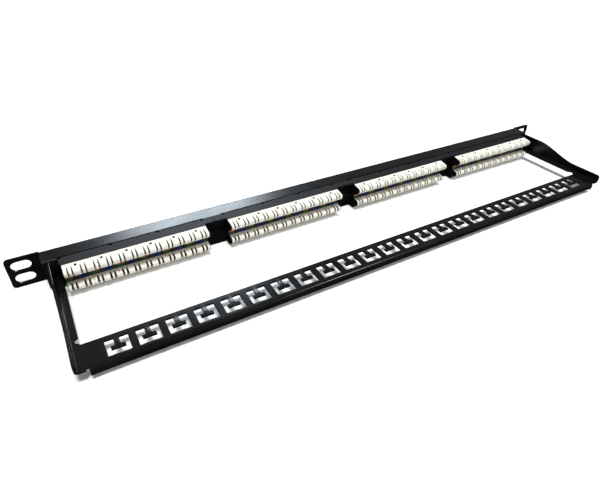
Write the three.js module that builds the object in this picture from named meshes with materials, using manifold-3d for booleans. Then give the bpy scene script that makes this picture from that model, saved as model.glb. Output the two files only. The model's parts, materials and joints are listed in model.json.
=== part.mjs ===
// A 24-port half-height 19-inch patch panel with a rear cable-tie bar, in millimetres, +Z up.
// The sockets face -Y, the punch-down rows and the tie bar face +Y, and X runs along the rack width.
import * as THREE from "three";
import { mergeVertices } from "three/addons/utils/BufferGeometryUtils.js";
import Module from "manifold-3d";

const wasm = await Module();
wasm.setup();

// Rack dimensions
const PANEL_WIDTH = 482.6;
const PANEL_HEIGHT = 22;
const SLOT_SPAN = 465.1; // between the slot centres of the two ears
const SLOT_SPACING = 9.525; // between the two slots of one ear
const SLOT_LENGTH = 12;
const SLOT_HEIGHT = 6.8;
const EAR_CORNER = 2.5;

// Sheet steel
const STEEL = 1.5;
const CHANNEL_HALF = 221;
const FLANGE_DEPTH = 12.4;
const FLANGE_TAB_REACH = 0.7;
const FLANGE_TAB_HALF = 6.5;

// Ports and modules
const MODULES = 4;
const PORTS = 6;
const PORT_PITCH = 15.49;
const MODULE_PITCH = 109.33;
const MODULES_HALF = 211.4; // the row of modules stops here, inside the end caps
const GAP = 0.3; // clearance between pieces that touch

// Socket module behind the front sheet
const BEZEL_PROUD = 0.8;
const WINDOW_WIDTH = 94.2;
const WINDOW_HEIGHT = 14.2;
const SOCKET_WIDTH = 11.8;
const SOCKET_TOP = 15.4;
const SOCKET_FLOOR = 8.4;
const LATCH_WIDTH = 6.3;
const LATCH_FLOOR = 6.5;
const KEY_WIDTH = 3.4;
const KEY_FLOOR = 5.2;
const CONTACTS = 8;
const CONTACT_PITCH = 1.02;
const CONTACT_WIDTH = 0.5;
const CONTACT_REACH = 6.6; // how far a spring contact slopes back into its socket
const CONTACT_DROP = 2.6; // how far its tip hangs below the insert plate
const INSERT_FRONT = 1.8;
const INSERT_THICKNESS = 0.7;

// Rear housing, circuit board and punch-down rows
const BOARD_FRONT = 13.4;
const BOARD_THICKNESS = 1.6;
const BOARD_WIDTH = 103;
const REAR_FACE = 21.8;
const REAR_SKIN = 1.6;
const RECESS_FACE = 16.5; // back wall of the gap between neighbouring rows
const RIB_REAR = 18.2; // the two ribs that cross the gap stop here at the bottom
const RIB_LOW = 8.4;
const RIB_HIGH = 11.8;
const GAP_ROOF = 2.2; // thickness left above the gap
const SNAP_WIDTH = 1.8;
const SNAP_DEPTH = 1.4;
const ROW_WIDTH = 92.66;
const ROW_FRONT = REAR_FACE + GAP;
const ROW_DROP = 11.8; // the lower row sits this far below the upper one
const ROOT_WIDTH = 91;
const ROOT_HEIGHT = 6;
const ROOT_LEVELS = [13.4, 2.3]; // undersides of the upper and the lower row's root
const ROW_LOW = 12.8; // the upper row's wedge against the housing, from here
const ROW_HIGH = 21.7; // to here
const NOSE_UPPER = 30.2;
const NOSE_LOWER = 29.2;
const SLIT_WIDTH = 0.75;
const SLIT_PITCH = 2.6;
const SLIT_SHIFT = -0.7; // centre of a port's four slits from the port centre
const SLIT_START = 24.3;
const LABEL_LOW = 10;
const LABEL_HEIGHT = 2.5;
const LABEL_THICKNESS = 0.3;

// Tie bar, folded from one sheet
const SHEET = 1.2;
const DECK_TOP = 8.4;
const DECK_INNER = 79.7;
const BAR_REAR = 100;
const ARM_OUTER = 217.8;
const ARM_LEDGE = 212;
const ARM_FRONT = 15;
const ARM_REAR = 99.4;
const ARM_HIGH = 21.8;
const ARM_LOW = 14;
const ARM_FALL_START = 36; // the wall's top edge falls in an S-curve from here
const ARM_FALL_END = 74; // to here
const ARM_CORNER = 2.2;
const ARM_LEDGE_START = 19;
const RELIEF_RADIUS = 2.4;
const RELIEF_INSET = 3.4; // the relief's centre ahead of the deck's inner edge
const HOOK_HALF = 210.5;
const HOOK_BOTTOM = 3.8;
const BEND = 2; // outer radius of the folds
const TIES = 24;
const TIE_PITCH = 16.86;
const TIE_WIDTH = 12.6;
const TIE_FRONT = 83.4;
const TIE_REAR = 95.5;
const TONGUE_STEM = 3.2;
const TONGUE_HEAD = 8;
const TONGUE_HEAD_DEPTH = 2.2;
const TONGUE_GAP = 4.2; // from the head to the window's rear edge

// End caps and the screws that hold the bar's arms
const CAP_INNER = MODULES_HALF + GAP;
const CAP_OUTER = 220.7;
const CAP_CORNER = 3;
const CAP_PLATE_REAR = 14.7;
const SCREW_X = 214.2;
const SCREW_Z = 13.5;
const SCREW_RADIUS = 1.5;
const SCREW_HEAD_RADIUS = 2.1;

const DEPTH_MIDDLE = (BAR_REAR - BEZEL_PROUD) / 2; // the frame's Y = 0

const steel = new THREE.MeshStandardMaterial({ color: 0x1c1c1e, roughness: 0.45, metalness: 0.3 });
const sheet = new THREE.MeshStandardMaterial({ color: 0x202022, roughness: 0.4, metalness: 0.3 });
const blackPlastic = new THREE.MeshStandardMaterial({ color: 0x161616, roughness: 0.55 });
const ivoryPlastic = new THREE.MeshStandardMaterial({ color: 0xefece2, roughness: 0.5 });
const boardGreen = new THREE.MeshStandardMaterial({ color: 0x1f5a34, roughness: 0.5 });
const labelFilm = new THREE.MeshStandardMaterial({ color: 0x2f6fb0, roughness: 0.4 });
const gold = new THREE.MeshStandardMaterial({ color: 0xd9b45a, roughness: 0.25, metalness: 1 });
const blackZinc = new THREE.MeshStandardMaterial({ color: 0x2a2a2c, roughness: 0.3, metalness: 0.8 });

// A closed three.js geometry as a solid.
function solid(geometry) {
  geometry.deleteAttribute("normal");
  geometry.deleteAttribute("uv");
  const merged = mergeVertices(geometry, 1e-4);
  return new wasm.Manifold(
    new wasm.Mesh({
      numProp: 3,
      vertProperties: merged.attributes.position.array,
      triVerts: new Uint32Array(merged.index.array),
    }),
  );
}

function box(x0, x1, y0, y1, z0, z1) {
  const geometry = new THREE.BoxGeometry(x1 - x0, y1 - y0, z1 - z0);
  geometry.translate((x0 + x1) / 2, (y0 + y1) / 2, (z0 + z1) / 2);
  return solid(geometry);
}

function boxAbout(x, width, y0, y1, z0, z1) {
  return box(x - width / 2, x + width / 2, y0, y1, z0, z1);
}

function outline(points) {
  return new THREE.Shape(points.map(([a, b]) => new THREE.Vector2(a, b)));
}

// Drops points that fall on their neighbour, where an arc ends on the start of the next stretch.
function distinct(points) {
  return points.filter((point, i) => point.distanceTo(points[(i + 1) % points.length]) > 1e-3);
}

function extrude(shape, length, steps) {
  const drawn = shape.extractPoints(steps);
  const rim = new THREE.Shape(distinct(drawn.shape));
  rim.holes = drawn.holes.map((hole) => new THREE.Path(distinct(hole)));
  return new THREE.ExtrudeGeometry(rim, { depth: length, bevelEnabled: false });
}

// A (y, z) outline run along X.
function alongX(shape, x0, x1, steps = 6) {
  const geometry = extrude(shape, x1 - x0, steps);
  const turn = new THREE.Matrix4().makeBasis(
    new THREE.Vector3(0, 1, 0),
    new THREE.Vector3(0, 0, 1),
    new THREE.Vector3(1, 0, 0),
  );
  return solid(geometry.applyMatrix4(turn).translate(x0, 0, 0));
}

// An (x, z) outline run along Y.
function alongY(shape, y0, y1, steps = 6) {
  const geometry = extrude(shape, y1 - y0, steps);
  return solid(geometry.rotateX(Math.PI / 2).translate(0, y1, 0));
}

// An (x, y) outline run along Z.
function alongZ(shape, z0, z1, steps = 6) {
  return solid(extrude(shape, z1 - z0, steps).translate(0, 0, z0));
}

function rod(radius, x, z, y0, y1, sides) {
  const geometry = new THREE.CylinderGeometry(radius, radius, y1 - y0, sides);
  return solid(geometry.translate(x, (y0 + y1) / 2, z));
}

const join = (pieces) => pieces.reduce((sum, piece) => sum.add(piece));
const cut = (body, cutters) => body.subtract(join(cutters));

const panel = new THREE.Group();
panel.name = "patch_panel";
panel.position.y = -DEPTH_MIDDLE;

function place(name, body, material) {
  const mesh = body.getMesh();
  const geometry = new THREE.BufferGeometry();
  geometry.setAttribute("position", new THREE.BufferAttribute(new Float32Array(mesh.vertProperties), 3));
  geometry.setIndex(new THREE.BufferAttribute(new Uint32Array(mesh.triVerts), 1));
  geometry.computeVertexNormals();
  const piece = new THREE.Mesh(geometry, material);
  piece.name = name;
  panel.add(piece);
}

const moduleCentre = (m) => (m - (MODULES - 1) / 2) * MODULE_PITCH;
const portCentre = (m, p) => moduleCentre(m) + (p - (PORTS - 1) / 2) * PORT_PITCH;
const middleZ = PANEL_HEIGHT / 2;

function frontPanel() {
  const half = PANEL_WIDTH / 2;
  const face = new THREE.Shape();
  face.moveTo(-half + EAR_CORNER, 0);
  face.lineTo(half - EAR_CORNER, 0);
  face.absarc(half - EAR_CORNER, EAR_CORNER, EAR_CORNER, -Math.PI / 2, 0);
  face.absarc(half - EAR_CORNER, PANEL_HEIGHT - EAR_CORNER, EAR_CORNER, 0, Math.PI / 2);
  face.absarc(-half + EAR_CORNER, PANEL_HEIGHT - EAR_CORNER, EAR_CORNER, Math.PI / 2, Math.PI);
  face.absarc(-half + EAR_CORNER, EAR_CORNER, EAR_CORNER, Math.PI, Math.PI * 1.5);
  for (const side of [-1, 1]) {
    for (const level of [-1, 1]) {
      const x = (side * SLOT_SPAN) / 2;
      const z = middleZ + (level * SLOT_SPACING) / 2;
      const reach = (SLOT_LENGTH - SLOT_HEIGHT) / 2;
      const slot = new THREE.Path();
      slot.absarc(x + reach, z, SLOT_HEIGHT / 2, -Math.PI / 2, Math.PI / 2);
      slot.absarc(x - reach, z, SLOT_HEIGHT / 2, Math.PI / 2, Math.PI * 1.5);
      face.holes.push(slot);
    }
  }
  const windows = [];
  for (let m = 0; m < MODULES; m++) {
    const [low, high] = [middleZ - WINDOW_HEIGHT / 2, middleZ + WINDOW_HEIGHT / 2];
    windows.push(boxAbout(moduleCentre(m), WINDOW_WIDTH, -1, STEEL + 1, low, high));
  }
  const flange = (z) => box(-CHANNEL_HALF, CHANNEL_HALF, STEEL / 2, FLANGE_DEPTH, z, z + STEEL);
  const tabs = [];
  for (let m = 1; m < MODULES; m++) {
    const seam = moduleCentre(m) - MODULE_PITCH / 2;
    const tabRear = FLANGE_DEPTH + FLANGE_TAB_REACH;
    const tabTop = PANEL_HEIGHT;
    tabs.push(boxAbout(seam, 2 * FLANGE_TAB_HALF, STEEL, tabRear, tabTop - STEEL, tabTop));
  }
  const plate = boxAbout(0, 2 * CHANNEL_HALF, 0, STEEL, 0, PANEL_HEIGHT);
  const ears = alongY(face, 0, STEEL, 5).subtract(plate);
  const front = cut(plate, windows);
  return join([front, ears, flange(0), flange(PANEL_HEIGHT - STEEL), ...tabs]);
}

// The outer modules stop short at the end caps.
function crop(body) {
  return body.intersect(box(-MODULES_HALF, MODULES_HALF, -5, 40, -5, 40));
}

function jackHousing(m) {
  const x = moduleCentre(m);
  const [low, high] = [STEEL + GAP, PANEL_HEIGHT - STEEL - GAP];
  const bezelLow = middleZ - WINDOW_HEIGHT / 2 + GAP;
  const bezelHigh = middleZ + WINDOW_HEIGHT / 2 - GAP;
  const body = join([
    boxAbout(x, MODULE_PITCH - GAP, STEEL + GAP, FLANGE_DEPTH + GAP, low, high),
    boxAbout(x, WINDOW_WIDTH - 2 * GAP, -BEZEL_PROUD, STEEL + 2 * GAP, bezelLow, bezelHigh),
  ]);
  const sockets = [];
  for (let p = 0; p < PORTS; p++) {
    const centre = portCentre(m, p);
    const [w, l, k] = [SOCKET_WIDTH / 2, LATCH_WIDTH / 2, KEY_WIDTH / 2];
    const half = [[w, SOCKET_TOP], [w, SOCKET_FLOOR], [l, SOCKET_FLOOR], [l, LATCH_FLOOR], [k, LATCH_FLOOR],
      [k, KEY_FLOOR]];
    const mirrored = half.map(([a, z]) => [-a, z]).reverse();
    const mouth = [...half, ...mirrored].map(([a, z]) => [centre + a, z]);
    sockets.push(alongY(outline(mouth), -BEZEL_PROUD - 1, FLANGE_DEPTH + 1));
  }
  return crop(cut(body, sockets));
}

// The plastic insert that carries a socket's eight sprung contacts, and the contacts.
function contactSet(m, p) {
  const x = portCentre(m, p);
  const top = SOCKET_TOP - GAP;
  const under = top - INSERT_THICKNESS;
  const plate = boxAbout(x, SOCKET_WIDTH - 2 * GAP, INSERT_FRONT, FLANGE_DEPTH, under, top);
  const start = INSERT_FRONT + 0.2;
  const tip = start + CONTACT_REACH;
  const wire = outline([
    [start, under + 0.2],
    [tip, under - CONTACT_DROP],
    [tip + 0.3, under - CONTACT_DROP + 0.4],
    [start + 1.2, under + 0.3],
  ]);
  const wires = [];
  for (let c = 0; c < CONTACTS; c++) {
    const left = x + (c - (CONTACTS - 1) / 2) * CONTACT_PITCH - CONTACT_WIDTH / 2;
    wires.push(alongX(wire, left, left + CONTACT_WIDTH));
  }
  return join([plate, ...wires]);
}

function circuitBoard(m) {
  const [y0, y1] = [BOARD_FRONT, BOARD_FRONT + BOARD_THICKNESS];
  const edge = REAR_SKIN + 2 * GAP;
  return crop(boxAbout(moduleCentre(m), BOARD_WIDTH, y0, y1, edge, PANEL_HEIGHT - edge));
}

function rearHousing(m) {
  const x = moduleCentre(m);
  const front = BOARD_FRONT;
  const pocketRear = front + BOARD_THICKNESS + GAP;
  const lip = REAR_SKIN;
  const end = (MODULE_PITCH - GAP) / 2;
  const rowHalf = ROW_WIDTH / 2 + GAP;
  const [pocketLow, pocketHigh] = [lip + GAP, PANEL_HEIGHT - lip - GAP];
  const cutters = [boxAbout(x, BOARD_WIDTH + 2 * GAP, front - 1, pocketRear, pocketLow, pocketHigh)];
  for (const low of ROOT_LEVELS) {
    const [z0, z1] = [low - GAP, low + ROOT_HEIGHT + GAP];
    cutters.push(boxAbout(x, ROOT_WIDTH + 2 * GAP, front, REAR_FACE + 1, z0, z1));
  }
  for (const side of [-1, 1]) {
    const [a, b] = [x + side * rowHalf, x + side * (end + 1)];
    const [x0, x1] = [Math.min(a, b), Math.max(a, b)];
    const roof = PANEL_HEIGHT - GAP_ROOF;
    cutters.push(box(x0, x1, RIB_REAR, REAR_FACE + 1, -1, roof));
    cutters.push(box(x0, x1, RECESS_FACE, REAR_FACE, -1, RIB_LOW));
    cutters.push(box(x0, x1, RECESS_FACE, REAR_FACE, RIB_HIGH, roof));
    cutters.push(box(x0, x1, REAR_FACE - 2, REAR_FACE + 1, roof - 0.8, PANEL_HEIGHT + 1));
  }
  // Small snap windows along the top edge, where the housing clips under the steel flange.
  for (const pitches of [-3, -1, 1, 3]) {
    const centre = x + pitches * PORT_PITCH;
    const rear = front + SNAP_DEPTH;
    cutters.push(boxAbout(centre, SNAP_WIDTH, front - 1, rear, PANEL_HEIGHT - 1, PANEL_HEIGHT + 1));
  }
  // The flange's seam tabs reach over the front edge of the housing.
  for (const side of [-1, 1]) {
    const seam = x + (side * MODULE_PITCH) / 2;
    const reach = FLANGE_DEPTH + FLANGE_TAB_REACH + GAP;
    const tabHalf = FLANGE_TAB_HALF + GAP / 2;
    cutters.push(box(seam - tabHalf, seam + tabHalf, front - 1, reach, PANEL_HEIGHT - 2, PANEL_HEIGHT + 1));
  }
  const block = box(x - end, x + end, front, REAR_FACE, 0, PANEL_HEIGHT);
  return crop(cut(block, cutters));
}

// One punch-down row: a wedge with a rounded nose, cut by a pair of slits on each side of every port.
function punchRow(m, lower) {
  const x = moduleCentre(m);
  const drop = lower ? ROW_DROP : 0;
  const nose = lower ? NOSE_LOWER : NOSE_UPPER;
  const [low, high] = [ROW_LOW - drop, ROW_HIGH - drop];
  const profile = new THREE.Shape();
  profile.moveTo(ROW_FRONT, low);
  profile.lineTo(nose - 3.2, low + 2.2);
  profile.lineTo(nose - 0.9, low + 4.2);
  profile.quadraticCurveTo(nose + 0.4, low + 6.2, nose - 0.8, high - 1.4);
  profile.lineTo(ROW_FRONT, high);
  const half = ROW_WIDTH / 2;
  const rootLow = ROOT_LEVELS[lower ? 1 : 0];
  const rootFront = BOARD_FRONT + BOARD_THICKNESS + GAP;
  const body = join([
    alongX(profile, x - half, x + half, 3),
    boxAbout(x, ROOT_WIDTH, rootFront, ROW_FRONT + 1, rootLow, rootLow + ROOT_HEIGHT),
  ]);
  const slits = [];
  for (let p = 0; p < PORTS; p++) {
    for (const step of [-2, -1, 1, 2]) {
      const centre = portCentre(m, p) + SLIT_SHIFT + step * SLIT_PITCH;
      slits.push(boxAbout(centre, SLIT_WIDTH, SLIT_START, nose + 2, low - 0.8, high + 0.3));
    }
  }
  return cut(body, slits);
}

function wiringLabel(m) {
  const rear = ROW_FRONT + LABEL_THICKNESS;
  return boxAbout(moduleCentre(m), ROW_WIDTH, ROW_FRONT, rear, LABEL_LOW, LABEL_LOW + LABEL_HEIGHT);
}

function endCap(side) {
  const plate = new THREE.Shape();
  plate.moveTo(CAP_INNER, 0);
  plate.lineTo(CAP_OUTER - CAP_CORNER, 0);
  plate.absarc(CAP_OUTER - CAP_CORNER, CAP_CORNER, CAP_CORNER, -Math.PI / 2, 0);
  plate.lineTo(CAP_OUTER, PANEL_HEIGHT);
  plate.lineTo(CAP_INNER, PANEL_HEIGHT);
  const plateFront = FLANGE_DEPTH + GAP;
  const inside = STEEL + GAP;
  const body = join([
    alongY(plate, plateFront, CAP_PLATE_REAR, 4),
    box(CAP_INNER, CHANNEL_HALF - GAP, STEEL + GAP, plateFront + 0.5, inside, PANEL_HEIGHT - inside),
  ]);
  const hole = rod(SCREW_RADIUS + GAP, SCREW_X, SCREW_Z, 4, CAP_PLATE_REAR + 1, 12);
  const cap = body.subtract(hole);
  return side > 0 ? cap : cap.mirror([1, 0, 0]);
}

function barScrew(side) {
  const head = ARM_FRONT + SHEET + GAP;
  const body = join([
    rod(SCREW_RADIUS, SCREW_X, SCREW_Z, 5, head + 0.5, 12),
    rod(SCREW_HEAD_RADIUS, SCREW_X, SCREW_Z, head, head + 1.6, 16),
  ]);
  const cross = [
    boxAbout(SCREW_X, 2.6, head + 0.8, head + 3, SCREW_Z - 0.35, SCREW_Z + 0.35),
    boxAbout(SCREW_X, 0.7, head + 0.8, head + 3, SCREW_Z - 1.3, SCREW_Z + 1.3),
  ];
  const screw = cut(body, cross);
  return side > 0 ? screw : screw.mirror([1, 0, 0]);
}

// The outline of an arm's upright wall in (y, z): full height at the panel, an S-curve down to a low lip.
function armWallProfile() {
  const bottom = DECK_TOP - SHEET;
  const [cornerY, cornerZ] = [ARM_REAR - ARM_CORNER, ARM_LOW - ARM_CORNER];
  const [start, end] = [ARM_FALL_START, ARM_FALL_END];
  const wall = new THREE.Shape();
  wall.moveTo(ARM_FRONT, bottom);
  wall.lineTo(ARM_REAR, bottom);
  wall.lineTo(ARM_REAR, cornerZ);
  wall.absarc(cornerY, cornerZ, ARM_CORNER, 0, Math.PI / 2);
  wall.lineTo(end, ARM_LOW);
  wall.bezierCurveTo(end - 12, ARM_LOW, start + 14, ARM_HIGH - 1, start, ARM_HIGH);
  wall.lineTo(ARM_FRONT, ARM_HIGH);
  return wall;
}

// An arm in section, seen along Y: the ledge at the bottom and the wall, with a rounded fold.
function armSection(innerEdge) {
  const [bottom, inner] = [DECK_TOP - SHEET, BEND - SHEET];
  const section = new THREE.Shape();
  section.moveTo(innerEdge, bottom);
  section.lineTo(ARM_OUTER - BEND, bottom);
  section.absarc(ARM_OUTER - BEND, bottom + BEND, BEND, -Math.PI / 2, 0);
  section.lineTo(ARM_OUTER, ARM_HIGH);
  section.lineTo(ARM_OUTER - SHEET, ARM_HIGH);
  section.lineTo(ARM_OUTER - SHEET, bottom + BEND);
  section.absarc(ARM_OUTER - BEND, bottom + BEND, inner, 0, -Math.PI / 2, true);
  section.lineTo(innerEdge, DECK_TOP);
  return section;
}

function arm() {
  const folded = alongY(armSection(ARM_LEDGE), ARM_LEDGE_START, ARM_REAR, 4);
  const wallRear = ARM_LEDGE_START + 1;
  const wallFront = box(ARM_OUTER - SHEET, ARM_OUTER, ARM_FRONT, wallRear, DECK_TOP + BEND, ARM_HIGH);
  const shaped = join([folded, wallFront]).intersect(alongX(armWallProfile(), 200, 230, 8));
  const tab = box(ARM_LEDGE, ARM_OUTER, ARM_FRONT, ARM_FRONT + SHEET, DECK_TOP + BEND, ARM_HIGH - 1.5);
  const hole = rod(SCREW_RADIUS + GAP, SCREW_X, SCREW_Z, ARM_FRONT - 1, ARM_FRONT + 3, 12);
  return join([shaped, tab]).subtract(hole);
}

// The deck in section, seen along X, with the hook folded down at the rear.
function deckSection() {
  const [bottom, inner] = [DECK_TOP - SHEET, BEND - SHEET];
  const section = new THREE.Shape();
  section.moveTo(DECK_INNER, bottom);
  section.lineTo(BAR_REAR - BEND, bottom);
  section.absarc(BAR_REAR - BEND, DECK_TOP - BEND, inner, Math.PI / 2, 0, true);
  section.lineTo(BAR_REAR - SHEET, HOOK_BOTTOM);
  section.lineTo(BAR_REAR, HOOK_BOTTOM);
  section.lineTo(BAR_REAR, DECK_TOP - BEND);
  section.absarc(BAR_REAR - BEND, DECK_TOP - BEND, BEND, 0, Math.PI / 2);
  section.lineTo(DECK_INNER, DECK_TOP);
  return section;
}

// A tie window with its T-shaped tongue left standing from the inner edge.
function tieWindow(x) {
  const [w, s, h] = [TIE_WIDTH / 2, TONGUE_STEM / 2, TONGUE_HEAD / 2];
  const headRear = TIE_REAR - TONGUE_GAP;
  const headFront = headRear - TONGUE_HEAD_DEPTH;
  const half = [[s, headFront], [s, TIE_FRONT], [w, TIE_FRONT], [w, TIE_REAR]];
  const right = [[h, headRear], [h, headFront], ...half];
  const left = right.map(([a, y]) => [-a, y]).reverse();
  const points = [...right, ...left].map(([a, y]) => [x + a, y]);
  return alongZ(outline(points), DECK_TOP - SHEET - 1, DECK_TOP + 1);
}

function cableBar() {
  const right = arm();
  const deckEnd = ARM_OUTER - BEND;
  const corners = box(-deckEnd, deckEnd, DECK_INNER, ARM_REAR - 1.4, DECK_TOP - SHEET, DECK_TOP);
  const deck = alongX(deckSection(), -HOOK_HALF, HOOK_HALF, 4);
  const cutters = [];
  for (let i = 0; i < TIES; i++) cutters.push(tieWindow((i - (TIES - 1) / 2) * TIE_PITCH));
  for (const side of [-1, 1]) {
    // A round relief where the deck meets each arm's ledge.
    const relief = new THREE.CylinderGeometry(RELIEF_RADIUS, RELIEF_RADIUS, 2 * DECK_TOP, 12);
    relief.rotateX(Math.PI / 2).translate(side * (ARM_LEDGE - 0.2), DECK_INNER - RELIEF_INSET, DECK_TOP);
    cutters.push(solid(relief));
  }
  return cut(join([deck, corners, right, right.mirror([1, 0, 0])]), cutters);
}

place("front_panel", frontPanel(), steel);
for (let m = 0; m < MODULES; m++) {
  const n = m + 1;
  place(`jack_housing_${n}`, jackHousing(m), blackPlastic);
  place(`circuit_board_${n}`, circuitBoard(m), boardGreen);
  place(`rear_housing_${n}`, rearHousing(m), blackPlastic);
  place(`punch_row_upper_${n}`, punchRow(m, false), ivoryPlastic);
  place(`punch_row_lower_${n}`, punchRow(m, true), ivoryPlastic);
  place(`wiring_label_${n}`, wiringLabel(m), labelFilm);
  for (let p = 0; p < PORTS; p++) {
    const port = String(m * PORTS + p + 1).padStart(2, "0");
    place(`contact_set_${port}`, contactSet(m, p), gold);
  }
}
for (const [name, side] of [["left", -1], ["right", 1]]) {
  place(`end_cap_${name}`, endCap(side), blackPlastic);
  place(`bar_screw_${name}`, barScrew(side), blackZinc);
}
place("cable_bar", cableBar(), sheet);

export default panel;
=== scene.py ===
"""Detailed pieces and finishes for a half-height 24-port patch panel with a rear cable-tie bar."""
import json
from math import cos, radians, sin, sqrt, tau

import bmesh
import bpy
from mathutils import Matrix, Vector
from mathutils.geometry import tessellate_polygon

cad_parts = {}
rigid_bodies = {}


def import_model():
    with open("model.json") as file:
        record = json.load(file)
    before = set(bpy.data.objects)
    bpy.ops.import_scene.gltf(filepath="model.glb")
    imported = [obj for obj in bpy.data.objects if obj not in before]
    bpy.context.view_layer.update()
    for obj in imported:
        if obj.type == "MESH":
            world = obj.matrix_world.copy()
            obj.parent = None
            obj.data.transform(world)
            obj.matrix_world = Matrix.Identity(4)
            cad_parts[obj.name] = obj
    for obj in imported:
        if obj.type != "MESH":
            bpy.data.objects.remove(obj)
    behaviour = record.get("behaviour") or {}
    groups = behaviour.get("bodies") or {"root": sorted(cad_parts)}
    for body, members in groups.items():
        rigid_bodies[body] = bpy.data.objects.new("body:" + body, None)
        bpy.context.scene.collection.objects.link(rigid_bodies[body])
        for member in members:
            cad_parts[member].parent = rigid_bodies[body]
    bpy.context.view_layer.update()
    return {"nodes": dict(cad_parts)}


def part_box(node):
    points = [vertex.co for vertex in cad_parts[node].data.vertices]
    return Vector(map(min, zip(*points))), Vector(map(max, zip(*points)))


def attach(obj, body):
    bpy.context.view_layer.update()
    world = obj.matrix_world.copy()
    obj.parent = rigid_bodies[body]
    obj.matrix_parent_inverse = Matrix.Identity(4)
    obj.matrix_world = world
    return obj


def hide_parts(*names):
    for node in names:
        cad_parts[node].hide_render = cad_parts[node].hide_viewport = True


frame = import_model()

bl_info = {
    "name": "Patch panel pieces",
    "version": (1, 0, 0),
    "blender": (4, 5, 0),
    "location": "View3D > Sidebar > Patch panel",
    "description": "Builds the sheet metal, mouldings, contacts and prints of a half-height patch panel",
    "category": "Object",
}

MM = 0.001
BODY = "root"
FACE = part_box("front_panel")[0].y  # plane of the steel's front face; y below is measured back from it
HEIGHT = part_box("front_panel")[1].z / MM
MODULES = 4
PORTS = 6
WELD = 0.004  # corners closer than this many millimetres are one
SLOT_SPAN, SLOT_RISE = 465.1, 9.525  # rack slots' centres in millimetres, from ear to ear and from slot to slot


# --- sizes in the panel's own millimetres, taken from the frame

def span(node):
    """The lowest and highest corner of a CAD node in millimetres, y measured back from the panel's face."""
    low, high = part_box(node)
    return [Vector((c.x, c.y - FACE, c.z)) / MM for c in (low, high)]


def module_x(number):
    """Middle of a module along the panel, in millimetres."""
    low, high = span(f"wiring_label_{number}")
    return (low.x + high.x) / 2


def port_x(number, port, pitch):
    """Middle of a module's port, counted from 0, in millimetres."""
    return module_x(number) + (port - (PORTS - 1) / 2) * pitch


def linear(code):
    """A colour given as sRGB hex, as the linear values that shaders take."""
    levels = [int(code[i:i + 2], 16) / 255 for i in (0, 2, 4)]
    return tuple(v / 12.92 if v <= 0.04045 else ((v + 0.055) / 1.055) ** 2.4 for v in levels) + (1.0,)


# --- meshes

def on_path(x, point):
    """The place of a point of an outline in (y, z) at x along the panel."""
    return x, point[0], point[1]


class Sheet:
    """Faces that share their corners, in millimetres of the panel: x along it, y back from its face, z up."""

    def __init__(self):
        self.corners = {}
        self.faces = []

    def face(self, points):
        keys = [tuple(round(value, 4) for value in point) for point in points]
        self.faces.append([self.corners.setdefault(key, len(self.corners)) for key in keys])

    def grid(self, columns, rows, point, keep=lambda i, j: True):
        """One quad for each cell of columns by rows that keep() allows; point() turns a crossing into a place."""
        for i in range(len(columns) - 1):
            for j in range(len(rows) - 1):
                if keep(i, j):
                    cell = ((i, j), (i + 1, j), (i + 1, j + 1), (i, j + 1))
                    self.face([point(columns[a], rows[b]) for a, b in cell])

    def loft(self, rings):
        """Quads between neighbouring closed rings, and a cap on each end."""
        for near, far in zip(rings, rings[1:]):
            for k in range(len(near)):
                after = (k + 1) % len(near)
                self.face([near[k], near[after], far[after], far[k]])
        self.face(list(reversed(rings[0])))
        self.face(rings[-1])

    def strip(self, outline, *ends):
        """A bar with an outline in (y, z) from one end x to the other."""
        self.loft([[on_path(x, point) for point in outline] for x in ends])

    def turned(self, radius, place, ends, steps=12):
        """A round bar; place() turns an offset (a, b) across it and a point along it into a place."""
        turns = [tau * k / steps for k in range(steps)]
        self.loft([[place(radius * cos(t), radius * sin(t), end) for t in turns] for end in ends])

    def block(self, low, high):
        """A closed box."""
        x, y, z = zip(low, high)
        for side in (((0, 0, 0), (0, 1, 0), (1, 1, 0), (1, 0, 0)), ((0, 0, 1), (1, 0, 1), (1, 1, 1), (0, 1, 1)),
                     ((0, 0, 0), (1, 0, 0), (1, 0, 1), (0, 0, 1)), ((0, 1, 0), (0, 1, 1), (1, 1, 1), (1, 1, 0)),
                     ((0, 0, 0), (0, 0, 1), (0, 1, 1), (0, 1, 0)), ((1, 0, 0), (1, 1, 0), (1, 1, 1), (1, 0, 1))):
            self.face([(x[a], y[b], z[c]) for a, b, c in side])

    def made(self, name):
        mesh = bpy.data.meshes.new(name)
        mesh.from_pydata([(x * MM, y * MM + FACE, z * MM) for x, y, z in self.corners], [], self.faces)
        return linked(name, mesh)


def linked(name, mesh):
    piece = bpy.data.objects.new(name, mesh)
    bpy.context.scene.collection.objects.link(piece)
    return piece


def merged(name, meshes, work=None, weld=WELD):
    """Several meshes as one piece, doubled corners merged; work() may change the shape before it is kept."""
    shape = bmesh.new()
    for mesh in meshes:
        shape.from_mesh(mesh)
    bmesh.ops.remove_doubles(shape, verts=shape.verts, dist=weld * MM)
    if work:
        work(shape)
    mesh = bpy.data.meshes.new(name)
    shape.to_mesh(mesh)
    shape.free()
    return linked(name, mesh)


def joined(name, pieces):
    """Several pieces as one; the pieces themselves go."""
    whole = merged(name, [piece.data for piece in pieces])
    for piece in pieces:
        bpy.data.objects.remove(piece)
    return whole


def settle(piece):
    """Turns the piece's modifiers into its plain mesh and removes them."""
    graph = bpy.context.evaluated_depsgraph_get()
    graph.update()
    mesh = bpy.data.meshes.new_from_object(piece.evaluated_get(graph))
    piece.modifiers.clear()
    piece.data = mesh
    return piece


def outward(piece):
    """Merges doubled corners and turns every face outwards."""
    shape = bmesh.new()
    shape.from_mesh(piece.data)
    bmesh.ops.remove_doubles(shape, verts=shape.verts, dist=WELD * MM)
    bmesh.ops.recalc_face_normals(shape, faces=shape.faces)
    shape.to_mesh(piece.data)
    shape.free()
    return piece


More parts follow.
